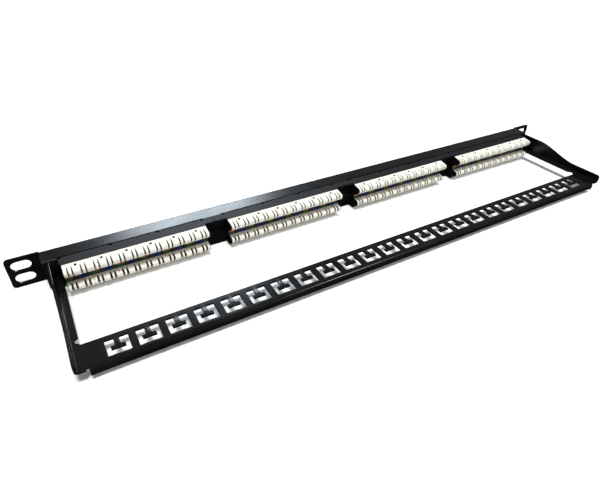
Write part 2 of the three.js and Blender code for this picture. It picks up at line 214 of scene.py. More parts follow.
def broken_edges(piece, width, angle=38, segments=2):
    """Rounds the sharp edges, as a press, a mould or a coat of paint leaves them, and shades the rest smooth."""
    bevel = piece.modifiers.new("Edges", "BEVEL")
    bevel.width = width
    bevel.segments = segments
    bevel.limit_method = "ANGLE"
    bevel.angle_limit = radians(angle)
    bevel.miter_outer = "MITER_ARC"
    settle(piece)
    softened(piece, angle)
    # Large faces keep their own direction, so that flat sheet reflects as flat sheet.
    weighted = piece.modifiers.new("Flat faces", "WEIGHTED_NORMAL")
    weighted.weight = 100
    weighted.keep_sharp = True
    return settle(piece)


def softened(piece, angle=38):
    piece.data.polygons.foreach_set("use_smooth", [True] * len(piece.data.polygons))
    piece.data.set_sharp_from_angle(angle=radians(angle))
    return piece


def thickened(piece, thickness):
    """Gives a sheet its gauge, on the side away from its faces."""
    solidify = piece.modifiers.new("Gauge", "SOLIDIFY")
    solidify.thickness = thickness
    solidify.offset = -1
    solidify.use_even_offset = True
    return settle(piece)


def moulded_copy(node, name, edge):
    """A CAD node's shape with its triangles merged into flat faces and its edges rounded."""
    def flatten(shape):
        bmesh.ops.dissolve_limit(shape, angle_limit=radians(0.5), verts=shape.verts, edges=shape.edges)

    return broken_edges(merged(name, [frame["nodes"][node].data], flatten), edge)


def less(piece, cutter):
    """Cuts the cutter out of the piece."""
    difference = piece.modifiers.new("Cut", "BOOLEAN")
    difference.operation = "DIFFERENCE"
    difference.solver = "EXACT"
    difference.object = cutter
    settle(piece)
    bpy.data.objects.remove(cutter)
    return piece


def bezier(t, a, b, c, d):
    """A value along a cubic curve, t from 0 to 1."""
    return (1 - t) ** 3 * a + 3 * t * (1 - t) ** 2 * b + 3 * t * t * (1 - t) * c + t ** 3 * d


def shrunk(outline, share):
    """An outline in (y, z) drawn in towards its middle."""
    middle = [sum(point[i] for point in outline) / len(outline) for i in (0, 1)]
    return [(middle[0] + (y - middle[0]) * share, middle[1] + (z - middle[1]) * share) for y, z in outline]


def arc(centre, radius, start, end, steps):
    """Points on an arc in (a, b), angles in degrees."""
    angles = [radians(start + (end - start) * k / steps) for k in range(steps + 1)]
    return [(centre[0] + radius * cos(t), centre[1] + radius * sin(t)) for t in angles]


# --- copies in rows

def add(tree, kind, values=None, wires=None, **fields):
    """Adds a node: values are its plain inputs, wires its inputs fed by (node, output), fields its own settings."""
    made = tree.nodes.new(kind)
    for key, value in fields.items():
        setattr(made, key, value)
    for key, value in (values or {}).items():
        made.inputs[key].default_value = value
    for key, (source, output) in (wires or {}).items():
        tree.links.new(source.outputs[output], made.inputs[key])
    return made


def row_tree():
    """Geometry Nodes that copy a piece along X: Count copies at Pitch, and Groups of those at Group pitch."""
    tree = bpy.data.node_groups.new("Copies in rows", "GeometryNodeTree")
    inputs = (("Piece", "NodeSocketGeometry"), ("Count", "NodeSocketInt"), ("Pitch", "NodeSocketFloat"),
              ("Groups", "NodeSocketInt"), ("Group pitch", "NodeSocketFloat"), ("Weld", "NodeSocketFloat"),
              ("Finish", "NodeSocketMaterial"))
    for name, kind in inputs:
        tree.interface.new_socket(name, in_out="INPUT", socket_type=kind)
    tree.interface.new_socket("Row", in_out="OUTPUT", socket_type="NodeSocketGeometry")
    given = add(tree, "NodeGroupInput")
    shape = (given, "Piece")
    for count, pitch in (("Count", "Pitch"), ("Groups", "Group pitch")):
        gaps = add(tree, "ShaderNodeMath", {1: 1.0}, {0: (given, count)}, operation="SUBTRACT")
        length = add(tree, "ShaderNodeMath", None, {0: (gaps, 0), 1: (given, pitch)}, operation="MULTIPLY")
        start = add(tree, "ShaderNodeMath", {1: -0.5}, {0: (length, 0)}, operation="MULTIPLY")
        first = add(tree, "ShaderNodeCombineXYZ", None, {"X": (start, 0)})
        step = add(tree, "ShaderNodeCombineXYZ", None, {"X": (given, pitch)})
        line = add(tree, "GeometryNodeMeshLine", None,
                   {"Count": (given, count), "Start Location": (first, 0), "Offset": (step, 0)}, mode="OFFSET")
        copies = add(tree, "GeometryNodeInstanceOnPoints", None, {"Points": (line, 0), "Instance": shape})
        shape = (copies, 0)
    real = add(tree, "GeometryNodeRealizeInstances", None, {0: shape})
    welded = add(tree, "GeometryNodeMergeByDistance", None, {"Geometry": (real, 0), "Distance": (given, "Weld")})
    painted = add(tree, "GeometryNodeSetMaterial", None, {"Geometry": (welded, 0), "Material": (given, "Finish")})
    add(tree, "NodeGroupOutput", None, {0: (painted, 0)})
    return tree


def in_rows(piece, finish, count, pitch, groups=1, group_pitch=0.0, weld=0.0, centre=0.0):
    """Copies the piece in rows about x = centre; pitches, weld and centre in millimetres."""
    tree = bpy.data.node_groups.get("Copies in rows") or row_tree()
    modifier = piece.modifiers.new("Rows", "NODES")
    modifier.node_group = tree
    given = {"Count": count, "Pitch": pitch * MM, "Groups": groups, "Group pitch": group_pitch * MM,
             "Weld": weld * MM, "Finish": finish}
    for item in tree.interface.items_tree:
        if item.in_out == "INPUT" and item.name in given:
            modifier[item.identifier] = given[item.name]
    settle(piece)
    piece.data.transform(Matrix.Translation((centre * MM, 0, 0)))
    return piece


def finished(piece, finish, replaces=()):
    """Gives a piece its finish and its body, and hides the CAD nodes that it stands for."""
    piece.data.materials.clear()
    piece.data.materials.append(finish)
    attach(piece, BODY)
    if replaces:
        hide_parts(*replaces)
    return piece


def repainted(node, finish):
    """Gives a CAD node that stays in view its finish."""
    for slot in frame["nodes"][node].material_slots:
        slot.material = finish


# --- finishes

def grain(size):
    """The texture scale that gives features of this size in millimetres on coordinates in metres."""
    return 1.0 / (size * MM)


def blank(name):
    """An empty material, its tree, and the wire that puts a texture on the piece's own coordinates."""
    material = bpy.data.materials.new(name)
    material.use_nodes = True
    tree = material.node_tree
    tree.nodes.clear()
    return material, tree, {"Vector": (add(tree, "ShaderNodeTexCoord"), "Object")}


def shaded(material, constants, tint, rough=None, bumps=()):
    """Ends a material in its shader: what is the same all over sits on its own sockets, and patterns are linked.

    rough is a pattern's wire, two of its levels and the roughness at each; a bump is a pattern's wire, a strength
    and a height in millimetres.
    """
    tree, wires = material.node_tree, {"Base Color": tint}
    if rough:
        pattern, low, high, smooth, coarse = rough
        level = add(tree, "ShaderNodeMapRange",
                    {"From Min": low, "From Max": high, "To Min": smooth, "To Max": coarse}, {"Value": pattern})
        wires["Roughness"] = (level, "Result")
    for pattern, strength, height in bumps:
        under = {"Normal": wires["Normal"]} if "Normal" in wires else {}
        bump = add(tree, "ShaderNodeBump", {"Strength": strength, "Distance": height * MM},
                   {"Height": pattern, **under})
        wires["Normal"] = (bump, "Normal")
    shader = add(tree, "ShaderNodeBsdfPrincipled", constants, wires)
    add(tree, "ShaderNodeOutputMaterial", None, {"Surface": (shader, "BSDF")})
    return material


def times(colour, factor, lift=0.0):
    """A colour made darker or paler."""
    return tuple(min(1.0, v * factor + lift) for v in colour[:3]) + (1.0,)


def set_stops(node, *stops):
    """Sets a colour ramp's two stops, each a position and a colour."""
    for stop, (position, colour) in zip(node.color_ramp.elements, stops):
        stop.position, stop.color = position, colour


def powder_coat(name, colour, roughness):
    """Powder-coated sheet steel, sprayed dry and baked: satin black with a soft orange peel and a little dust."""
    material, tree, here = blank(name)
    # Orange peel runs at about 1.5 mm, drawn low so that flat sheet still mirrors in broad soft patches.
    peel = add(tree, "ShaderNodeTexNoise", {"Scale": grain(1.6), "Detail": 2.0, "Roughness": 0.4}, here)
    # The powder's own grit is under 0.1 mm; 0.35 mm is the finest that shows.
    grit = add(tree, "ShaderNodeTexNoise", {"Scale": grain(0.35), "Detail": 2.0}, here)
    cloud = add(tree, "ShaderNodeTexNoise", {"Scale": grain(38.0), "Detail": 4.0, "Roughness": 0.6}, here)
    tint = add(tree, "ShaderNodeValToRGB", None, {"Fac": (cloud, "Fac")})
    set_stops(tint, (0.32, times(colour, 0.8)), (0.72, times(colour, 1.5, 0.0012)))
    return shaded(material, {"IOR": 1.45}, (tint, "Color"),
                  ((cloud, "Fac"), 0.3, 0.7, roughness - 0.03, roughness + 0.04),
                  [((peel, "Fac"), 0.5, 0.012), ((grit, "Fac"), 0.3, 0.005)])


def moulded_plastic(name, colour, roughness, texture, depth, ior=1.53, flow=0.12):
    """Injection-moulded plastic: a spark-eroded texture from the mould and faint flow clouds in the colour."""
    material, tree, here = blank(name)
    cloud = add(tree, "ShaderNodeTexNoise", {"Scale": grain(14.0), "Detail": 3.0, "Distortion": 0.8}, here)
    skin = add(tree, "ShaderNodeTexNoise", {"Scale": grain(texture), "Detail": 3.0, "Roughness": 0.65}, here)
    tint = add(tree, "ShaderNodeValToRGB", None, {"Fac": (cloud, "Fac")})
    set_stops(tint, (0.3, times(colour, 1 - flow)), (0.7, times(colour, 1 + flow)))
    return shaded(material, {"IOR": ior}, (tint, "Color"),
                  ((skin, "Fac"), 0.35, 0.65, roughness - 0.06, roughness + 0.06), [((skin, "Fac"), 0.5, depth)])


def plated_metal(name, colour, roughness, marks):
    """Stamped or drawn metal with a thin plating: bright, with fine marks along the strip."""
    material, tree, here = blank(name)
    turned = add(tree, "ShaderNodeMapping", {"Scale": (1.0, 0.12, 0.12)}, here)
    # Drawing marks are a few hundredths wide; they are drawn at 0.15 mm or more so that they show.
    mark = add(tree, "ShaderNodeTexNoise", {"Scale": grain(marks), "Detail": 3.0},
               {"Vector": (turned, "Vector")})
    tint = add(tree, "ShaderNodeValToRGB", None, {"Fac": (mark, "Fac")})
    set_stops(tint, (0.3, times(colour, 0.75)), (0.7, colour))
    return shaded(material, {"Metallic": 1.0}, (tint, "Color"),
                  ((mark, "Fac"), 0.0, 1.0, roughness - 0.06, roughness + 0.1), [((mark, "Fac"), 0.3, 0.006)])


def circuit_laminate(name, mask, copper):
    """Glass-epoxy board under green solder mask: woven glass beneath, copper tracks that lift and lighten it."""
    material, tree, here = blank(name)
    # Tracks 0.4 mm wide in cells of about 3 mm, from the lines between cells.
    cells = add(tree, "ShaderNodeTexVoronoi", {"Scale": grain(3.0), "Randomness": 0.35}, here,
                feature="DISTANCE_TO_EDGE")
    track = add(tree, "ShaderNodeMapRange", {"From Min": 0.06, "From Max": 0.1, "To Min": 1.0, "To Max": 0.0},
                {"Value": (cells, "Distance")})
    tint = add(tree, "ShaderNodeMix", {6: mask, 7: copper}, {0: (track, "Result")}, data_type="RGBA")
    weave = add(tree, "ShaderNodeTexWave", {"Scale": grain(8.0), "Distortion": 1.0}, here,
                bands_direction="DIAGONAL")
    return shaded(material, {"IOR": 1.5, "Coat Weight": 0.3}, (tint, 2),
                  ((weave, "Fac"), 0.0, 1.0, 0.32, 0.42), [((track, "Result"), 0.4, 0.03)])


def printed_ink(name, roughness, ink=None):
    """Screen-printed ink on film or paint: flat colour with small gaps in its cover. Without ink it reads "ink"."""
    material, tree, here = blank(name)
    cover = add(tree, "ShaderNodeTexNoise", {"Scale": grain(0.6), "Detail": 4.0}, here)
    thin = add(tree, "ShaderNodeMapRange", {"From Min": 0.3, "From Max": 0.6, "To Min": 0.82, "To Max": 1.0},
               {"Value": (cover, "Fac")})
    tint = add(tree, "ShaderNodeVectorMath", {} if ink is None else {0: ink[:3]}, {"Scale": (thin, "Result")},
               operation="SCALE")
    if ink is None:
        printed = add(tree, "ShaderNodeAttribute", attribute_name="ink")
        tree.links.new(printed.outputs["Color"], tint.inputs[0])
    return shaded(material, {}, (tint, 0),
                  ((cover, "Fac"), 0.0, 1.0, roughness - 0.08, roughness + 0.08), [((cover, "Fac"), 0.25, 0.01)])


def colour_setting(name, description, code):
    return bpy.props.FloatVectorProperty(name=name, description=description, subtype="COLOR", size=4, min=0.0,
                                         max=1.0, default=linear(code))


def length_setting(name, description, size):
    return bpy.props.FloatProperty(name=name, description=description, default=size * MM, min=0.0, unit="LENGTH",
                                   precision=5)


# --- the front sheet

class FrontSheetSettings(bpy.types.PropertyGroup):
    gauge: length_setting("Gauge", "Thickness of the front sheet", 1.5)
    fold: length_setting("Fold radius", "Outer radius of the folds along the top and bottom edge", 1.9)
    edge: length_setting("Edge rounding", "How far the painted edges are rounded", 0.22)
    window_width: length_setting("Window width", "Opening for one module of six sockets", 94.2)
    window_height: length_setting("Window height", "Height of that opening", 14.2)
    slot_length: length_setting("Slot length", "Length of a rack slot in the ears", 12.0)
    slot_height: length_setting("Slot height", "Height of a rack slot in the ears", 6.8)
    colour: colour_setting("Colour", "Powder coat of the front sheet", "0c0c0d")


class PATCHPANEL_OT_front_sheet(bpy.types.Operator):
    """Folds the front sheet with its two ears, four windows and the flanges along its top and bottom."""
    bl_idname = "patch_panel.front_sheet"
    bl_label = "Front sheet"

    def execute(self, context):
        sizes = context.scene.patch_panel_front
        gauge, fold = sizes.gauge / MM, sizes.fold / MM
        high = span("front_panel")[1]
        channel = span("end_cap_right")[1].x + 0.3
        flange = span("jack_housing_2")[1].y - 0.3
        middle = HEIGHT / 2
        window = [middle - sizes.window_height / MM / 2, middle + sizes.window_height / MM / 2]
        path = [(flange, 0.0)] + arc((fold, fold), fold, 270, 180, 5)
        path += [(0.0, window[0]), (0.0, window[1])] + arc((fold, HEIGHT - fold), fold, 180, 90, 5)
        path += [(flange, HEIGHT), (high.y, HEIGHT)]
        centres = [module_x(n + 1) for n in range(MODULES)]
        half = sizes.window_width / MM / 2
        seams = [(a + b) / 2 for a, b in zip(centres, centres[1:])]
        tab_half = 6.5  # three small tabs reach further back between the modules
        windows = [(c - half, c + half) for c in centres]
        columns = sorted([-channel, channel] + [x for pair in windows for x in pair]
                         + [s + side * tab_half for s in seams for side in (-1, 1)])

        def kept(i, j):
            x = (columns[i] + columns[i + 1]) / 2
            if j == len(path) - 2:
                return any(abs(x - s) < tab_half for s in seams)
            in_window = path[j][1] == window[0] and path[j + 1][1] == window[1]
            return not (in_window and any(a < x < b for a, b in windows))

        sheet = Sheet()
        sheet.grid(columns, path, on_path, kept)
        for side in (-1, 1):
            self.ear(sheet, side, channel, high.x, fold, window, sizes)
        piece = broken_edges(thickened(sheet.made("front_sheet"), sizes.gauge), sizes.edge)
        coat = powder_coat("powder_coated_steel", sizes.colour, 0.25)
        finished(piece, coat, ["front_panel"])
        return {"FINISHED"}

    def ear(self, sheet, side, channel, end, fold, window, sizes):
        """One ear: a flat polygon with rounded outer corners and two slots."""
        corner = 2.5
        rim = [(channel, fold), (channel, 0.0)]
        rim += arc((end - corner, corner), corner, 270, 360, 5)
        rim += arc((end - corner, HEIGHT - corner), corner, 0, 90, 5)
        rim += [(channel, HEIGHT), (channel, HEIGHT - fold), (channel, window[1]), (channel, window[0])]
        loops = [rim]
        radius = sizes.slot_height / MM / 2
        reach = sizes.slot_length / MM / 2 - radius
        for level in (-1, 1):
            x, z = SLOT_SPAN / 2, HEIGHT / 2 + level * SLOT_RISE / 2
            loops.append(arc((x + reach, z), radius, 90, -90, 8) + arc((x - reach, z), radius, 270, 90, 8))
        points = [(side * x, 0.0, z) for loop in loops for x, z in loop]
        for a, b, c in tessellate_polygon([[Vector((x, z, 0)) for x, z in loop] for loop in loops]):
            trio = [points[a], points[b], points[c]]
            (ax, _, az), (bx, _, bz), (cx, _, cz) = trio
            clockwise = (bx - ax) * (cz - az) - (cx - ax) * (bz - az) < 0
            sheet.face(list(reversed(trio)) if clockwise else trio)


# --- mouldings

class MouldingSettings(bpy.types.PropertyGroup):
    edge: length_setting("Edge rounding", "Radius left on the mouldings' edges", 0.2)
    colour: colour_setting("Colour", "Black plastic of the housings and end caps", "0d0d0e")


class PATCHPANEL_OT_mouldings(bpy.types.Operator):
    """Gives the socket housings, the rear housings and the end caps rounded edges and a moulded finish."""
    bl_idname = "patch_panel.mouldings"
    bl_label = "Black mouldings"

    def execute(self, context):
        sizes = context.scene.patch_panel_mouldings
        # Flame-retardant ABS from a spark-eroded mould: nearly matt, with grain near 0.3 mm drawn at 0.5 mm.
        plastic = moulded_plastic("moulded_black_abs", sizes.colour, 0.58, 0.5, 0.02, 1.53)
        nodes = [f"{kind}_{n + 1}" for kind in ("jack_housing", "rear_housing") for n in range(MODULES)]
        for node in nodes + ["end_cap_left", "end_cap_right"]:
            piece = moulded_copy(node, f"moulded_{node}", sizes.edge)
            finished(piece, plastic, [node])
        return {"FINISHED"}


# --- punch-down rows

class PunchRowSettings(bpy.types.PropertyGroup):
    port_pitch: length_setting("Port pitch", "Distance between neighbouring ports", 15.49)
    slit_width: length_setting("Slit width", "Width of a wire slit of the lower row where it starts", 0.85)
    slit_flare: length_setting("Slit flare", "How much wider a slit of the lower row is at the nose", 0.55)
    slit_pitch: length_setting("Slit pitch", "Distance between the two slits of a pair", 2.6)
    dot: length_setting("Dot", "Diameter of the small hole on top of each port", 1.9)
    colour: colour_setting("Colour", "Ivory plastic of the rows", "e9e5d7")
    # The blades' colour is painted shade: dark, so that the deep slits read as shaded.
    blade_colour: colour_setting("Blade colour", "Bronze of the blades, darkened as painted shade in the slits", "3a2a1e")


class PATCHPANEL_OT_punch_rows(bpy.types.Operator):
    """Builds the ivory punch-down rows from one port's worth of fingers, and the bronze blades in their slits."""
    bl_idname = "patch_panel.punch_rows"
    bl_label = "Punch-down rows"

    # The upper row's slits stand in the light and look finer than the lower row's.
    slit_share = {"upper": 0.7, "lower": 1.0}
    slit_steps = (-2, -1, 1, 2)  # a port's four slits, counted in slit pitches from its middle
    dot_back = 2.3  # a dot's place, measured back from the rear housing's face

    def execute(self, context):
        sizes = context.scene.patch_panel_rows
        # Glass-filled polyester: smooth, a little translucent, almost white.
        ivory = moulded_plastic("moulded_ivory_polyester", sizes.colour, 0.42, 0.7, 0.015, 1.57, 0.03)
        # Dark bronze on the blades: painted shade, so that the slits read dark.
        bronze = plated_metal("stamped_phosphor_bronze", sizes.blade_colour, 0.45, 0.15)
        black = bpy.data.materials["moulded_black_abs"]
        pitch = sizes.port_pitch / MM
        for row in ("upper", "lower"):
            segment = self.segment(row, sizes)
            blades = self.blades(row, sizes)
            for number in range(1, MODULES + 1):
                node = f"punch_row_{row}_{number}"
                copy = linked(f"ivory_row_{row}_{number}", segment.data.copy())
                in_rows(copy, ivory, PORTS, pitch, centre=module_x(number))
                finished(softened(copy, 42), ivory, [node])
                metal = linked(f"slit_blades_{row}_{number}", blades.data.copy())
                in_rows(metal, bronze, PORTS, pitch, centre=module_x(number))
                finished(metal, bronze)
                self.cheeks(row, number, black, sizes)
            bpy.data.objects.remove(segment)
            bpy.data.objects.remove(blades)
        return {"FINISHED"}

    def face(self):
        """The rear housings' rear face, which the rows stand on."""
        return span("rear_housing_1")[1].y

    def profile(self, row, rear):
        """The row's outline in (y, z) behind the plane y = rear, from its lower edge round the nose to the top."""
        high = span(f"punch_row_{row}_1")[1]
        nose, foot, top = high.y, high.z - 8.9, high.z
        start = self.face() + 0.3
        under = foot + 2.2 * (rear - start) / (nose - 3.2 - start)
        over = top - 1.4 * (rear - start) / (nose - 0.8 - start)
        a, b, c = (nose - 0.85, foot + 4.2), (nose + 0.25, foot + 6.2), (nose - 0.95, foot + 7.55)
        curve = []
        for k in range(5):
            t = k / 4
            curve.append(tuple((1 - t) ** 2 * p + 2 * t * (1 - t) * q + t * t * r for p, q, r in zip(a, b, c)))
        return [(rear, under), (nose - 3.2, foot + 2.2)] + curve + [(nose - 1.9, foot + 7.85), (rear, over)]

    def finger(self, sheet, profile, x0, x1, inset, flare=(0.0, 0.0)):
        """A lofted finger with drawn-in sides; flare narrows each side towards the nose, as a lead-in for wires."""
        rear, nose = min(p[0] for p in profile), max(p[0] for p in profile)
        rings = []
        for side, step, part in ((0, 0.0, 1.0), (0, 0.1, 0.4), (0, 0.3, 0.0),
                                 (1, -0.3, 0.0), (1, -0.1, 0.4), (1, 0.0, 1.0)):
            x, narrow = (x0, x1)[side] + step, (flare[0], -flare[1])[side]
            rings.append([(x + narrow * (at - rear) / (nose - rear), y, z)
                          for (at, _), (y, z) in zip(profile, shrunk(profile, 1 - inset * part / 4.0))])
        sheet.loft(rings)

    def segment(self, row, sizes):
        """One port's stretch of a row: five fingers between four slits, on a root, drilled for the dot."""
        share = self.slit_share[row]
        pitch, width = sizes.port_pitch / MM, sizes.slit_width / MM * share
        flare = sizes.slit_flare / MM / 2 * share
        slits = [k * sizes.slit_pitch / MM for k in self.slit_steps]
        edges = [-pitch / 2 + 0.05] + [s + side * width / 2 for s in slits for side in (-1, 1)] + [pitch / 2 - 0.05]
        face = self.face()
        fingers = self.profile(row, face + 2.5)
        foot, top = fingers[0][1], fingers[-1][1]
        root = [(face, foot - 0.9), (face + 2.7, foot + 0.05), (face + 2.7, top - 0.03), (face, top + 0.4)]
        outer = Sheet()
        for k, sides in ((0, (0.0, flare)), (2, (flare, flare)), (6, (flare, flare)), (8, (flare, 0.0))):
            self.finger(outer, fingers, edges[k], edges[k + 1], 0.3, sides)
        drilled = []
        for outline, x0, x1, inset, sides in ((fingers, edges[4], edges[5], 0.3, (flare, flare)),
                                              (root, edges[0], edges[-1], 0.1, (0.0, 0.0))):
            solid = Sheet()
            self.finger(solid, outline, x0, x1, inset, sides)
            solid = outward(solid.made("solid"))
            if row == "upper":
                less(solid, outward(self.pin(Sheet(), row, sizes.dot / MM / 2, -2.2, 1.0).made("drill")))
            drilled.append(solid)
        return joined("port_segment", [outward(outer.made("fingers"))] + drilled)

    def pin(self, sheet, row, radius, bottom, top, x=0.0):
        """An upright pin at the dot's place; bottom and top are levels measured from the row's top."""
        y, level = self.face() + self.dot_back, span(f"punch_row_{row}_1")[1].z
        sheet.turned(radius, lambda a, b, z: (x + a, y + b, level + z), (bottom, top))
        return sheet

    def blades(self, row, sizes):
        """Four forked blades that fill the slits a millimetre below the fingers; their dark colour is painted shade
        for the deep slits.
        """
        inner = shrunk(self.profile(row, self.face() + 2.4), 0.74)
        sheet = Sheet()
        for k in self.slit_steps:
            x = k * sizes.slit_pitch / MM
            for x0, x1 in ((-0.36, -0.1), (0.1, 0.36)):
                sheet.strip(inner, x + x0, x + x1)
        return outward(sheet.made("blades"))

    def cheeks(self, row, number, plastic, sizes):
        """The rear housing's black end walls against each end of a row, and black pins just under the top of each
        dot hole: painted shade that makes the dots read dark.
        """
        low, high = span(f"punch_row_{row}_{number}")
        face = self.face()
        outline = self.profile(row, face + 2.5)
        outline = [(face - 0.1, outline[0][1] - 0.95)] + outline[1:-1] + [(face - 0.1, outline[-1][1] + 0.42)]
        outline = shrunk(outline, 0.97)
        sheet = Sheet()
        for x0, x1 in ((low.x - 0.4, low.x + 0.02), (high.x - 0.02, high.x + 0.4)):
            sheet.strip(outline, x0, x1)
        # These pins are painted shade: black plugs that make the dot holes look dark inside.
        for port in range(PORTS if row == "upper" else 0):
            x = port_x(number, port, sizes.port_pitch / MM)
            self.pin(sheet, row, sizes.dot / MM / 2 - 0.05, -2.15, -0.2, x)
        finished(softened(outward(sheet.made(f"row_cheeks_{row}_{number}"))), plastic)


# --- sockets

class SocketSettings(bpy.types.PropertyGroup):
    contacts: bpy.props.IntProperty(name="Contacts", description="Spring contacts in each socket", default=8, min=1)
    contact_pitch: length_setting("Contact pitch", "Distance between neighbouring contacts", 1.02)
    wire: length_setting("Wire", "Width of a spring contact", 0.46)
    gold: colour_setting("Contact colour", "Gold plating of the spring contacts", "e2bd66")
    mask: colour_setting("Board colour", "Solder mask of the circuit boards", "0f4a2c")


class PATCHPANEL_OT_sockets(bpy.types.Operator):
    """Puts eight gold springs, a black comb and a rear wall in each socket, and finishes the boards behind them."""
    bl_idname = "patch_panel.sockets"
    bl_label = "Socket contacts"

    def execute(self, context):
        sizes = context.scene.patch_panel_sockets
        pitch = context.scene.patch_panel_rows.port_pitch / MM
        group_pitch = module_x(2) - module_x(1)
        nodes = [f"contact_set_{n + 1:02d}" for n in range(MODULES * PORTS)]
        low, high = span(nodes[0])
        gold = plated_metal("gold_plated_spring_wire", sizes.gold, 0.22, 0.15)
        # The comb is the same black plastic as the housings, straight from the mould.
        comb = moulded_plastic("moulded_black_comb", linear("18181a"), 0.45, 0.5, 0.015)
        # A spring's path in (y, z): forward from the rear, round its bend behind the opening, then down and back.
        wire = Sheet()
        top = high.z - 0.2
        path = [(high.y - 0.3, top - 0.5), (3.0, top - 0.5), (2.3, top - 0.62), (2.05, top - 0.95),
                (2.5, top - 1.3), (low.y + 6.8, low.z + 0.15), (low.y + 7.2, low.z + 0.3)]
        half = sizes.wire / MM / 2
        rings = []
        for k, (y, z) in enumerate(path):
            before, after = path[max(0, k - 1)], path[min(len(path) - 1, k + 1)]
            along = Vector((after[0] - before[0], after[1] - before[1])).normalized()
            side = Vector((-along.y, along.x)) * 0.15
            rings.append([(-half, y - side.x, z - side.y), (half, y - side.x, z - side.y),
                          (half, y + side.x, z + side.y), (-half, y + side.x, z + side.y)])
        wire.loft(rings)
        springs = outward(wire.made("socket_springs"))
        in_rows(springs, gold, sizes.contacts, sizes.contact_pitch / MM)
        in_rows(springs, gold, PORTS, pitch, MODULES, group_pitch)
        finished(softened(springs, 50), gold, nodes)
        # The comb: ribs between the springs, hung from a plate.
        rib = Sheet()
        rib.block((-0.14, low.y + 2.6, high.z - 1.5), (0.14, high.y, high.z - 0.6))
        ribs = in_rows(rib.made("ribs"), comb, sizes.contacts + 1, sizes.contact_pitch / MM)
        plate = Sheet()
        reach = (high.x - low.x) / 2
        plate.block((-reach, low.y, high.z - 0.6), (reach, high.y, high.z))
        # A thin rear wall keeps the board behind the socket out of sight.
        rear, foot = span("circuit_board_1")[0].y, span("jack_housing_1")[0].z + 0.8
        plate.block((-reach, rear - 0.3, foot), (reach, rear - 0.1, high.z))
        combs = joined("socket_combs", [ribs, broken_edges(plate.made("plate"), 0.15 * MM)])
        in_rows(combs, comb, PORTS, pitch, MODULES, group_pitch)
        finished(combs, comb)
        board = circuit_laminate("solder_masked_laminate", sizes.mask, linear("2c7a4a"))
        for number in range(1, MODULES + 1):
            repainted(f"circuit_board_{number}", board)
        return {"FINISHED"}


# --- prints

class PrintSettings(bpy.types.PropertyGroup):
    number_height: length_setting("Number height", "Height of the port numbers on the front sheet", 2.1)
    number_colour: colour_setting("Number colour", "White ink of the port numbers", "e6e6e2")
    ground: colour_setting("Film", "Ground of the wiring labels", "3a382f")
    orange: colour_setting("Orange pair", "Ink of the orange block on the wiring labels", "e8521c")
    green: colour_setting("Green pair", "Ink of the green block on the wiring labels", "1c7a36")
    blue: colour_setting("Blue pair", "Ink of the blue block on the wiring labels", "0f2c84")
    brown: colour_setting("Brown pair", "Ink of the brown block on the wiring labels", "3a2416")


class PATCHPANEL_OT_prints(bpy.types.Operator):
    """Prints the four pair colours under each port of the wiring labels and the port numbers on the front."""
    bl_idname = "patch_panel.prints"
    bl_label = "Prints"

    def execute(self, context):
        sizes = context.scene.patch_panel_prints
        pitch = context.scene.patch_panel_rows.port_pitch / MM
        self.labels(sizes, pitch)
        self.numbers(sizes, pitch)
        return {"FINISHED"}

    def labels(self, sizes, pitch):
        """Blocks of pair colours on the CAD labels, folded over the rows below."""
        ink = printed_ink("screen_printed_pair_colours", 0.42)
        # Satin polyester film, printed dark olive.
        film = printed_ink("dark_polyester_film", 0.4, sizes.ground)
        low, high = span("wiring_label_1")
        # Each print is an outline in (y, z): it stands on the label, or folds forward over the row below.
        face, foot = high.y, low.z - 0.12

        def fold(start, lift, part):
            """An outline lifted off the label, folding down from low.z + 0.6 for a part of the way over the row."""
            end = (face + 1.25 * part, low.z + 0.6 + (foot - low.z - 0.6) * part)
            return [(face - 0.05, low.z + start), (face + lift, low.z + start), (face + lift, low.z + 0.6 + lift),
                    (end[0] + lift, end[1] + lift), (end[0] + lift, foot - 0.2), (face - 0.05, foot - 0.2)]

        half = pitch / 2
        blocks = (
            (sizes.ground, -half, half, fold(2.4, 0.03, 1.0)),
            (sizes.green, 3.6, 7.7, fold(1.3, 0.08, 0.75)),
            (sizes.orange, 3.6, 7.7, fold(2.35, 0.05, 0.1)),
            (sizes.blue, -4.2, 0.4, fold(2.35, 0.08, 0.8)),
            (sizes.brown, -4.2, 0.4, fold(0.7, 0.05, 0.95)),
        )
        sheet = Sheet()
        tints = []
        for colour, x0, x1, outline in blocks:
            before = len(sheet.corners)
            sheet.strip(outline, x0, x1)
            tints += [tuple(colour)] * (len(sheet.corners) - before)
        base = outward(sheet.made("pair_colours"))
        layer = base.data.attributes.new("ink", "FLOAT_COLOR", "POINT")
        for entry, tint in zip(layer.data, tints):
            entry.color = tint
        for number in range(1, MODULES + 1):
            copy = linked(f"pair_colours_{number}", base.data.copy())
            in_rows(copy, ink, PORTS, pitch, centre=module_x(number))
            finished(copy, ink)
            repainted(f"wiring_label_{number}", film)
        bpy.data.objects.remove(base)

    def numbers(self, sizes, pitch):
        """The port numbers above the sockets, a hair proud of the front sheet."""
        white = printed_ink("pad_printed_white_ink", 0.5, sizes.number_colour)
        turn = Matrix(((1, 0, 0, 0), (0, 0, -1, 0), (0, 1, 0, 0), (0, 0, 0, 1)))
        digits = []
        for number in range(1, MODULES * PORTS + 1):
            module, port = divmod(number - 1, PORTS)
            text = bpy.data.curves.new("number", "FONT")
            text.body = str(number)
            text.size = sizes.number_height * 1.38
            text.align_x = "CENTER"
            text.resolution_u = 3
            text.extrude = 0.02 * MM
            writing = linked("number", text)
            graph = bpy.context.evaluated_depsgraph_get()
            mesh = bpy.data.meshes.new_from_object(writing.evaluated_get(graph))
            x = port_x(module + 1, port, pitch)
            mesh.transform(Matrix.Translation((x * MM, FACE - 0.02 * MM, (HEIGHT - 3.1) * MM)) @ turn)
            digits.append(mesh)
            bpy.data.objects.remove(writing)
        finished(merged("port_numbers", digits, weld=0.001), white)
        bpy.data.batch_remove(digits)


# --- the tie bar

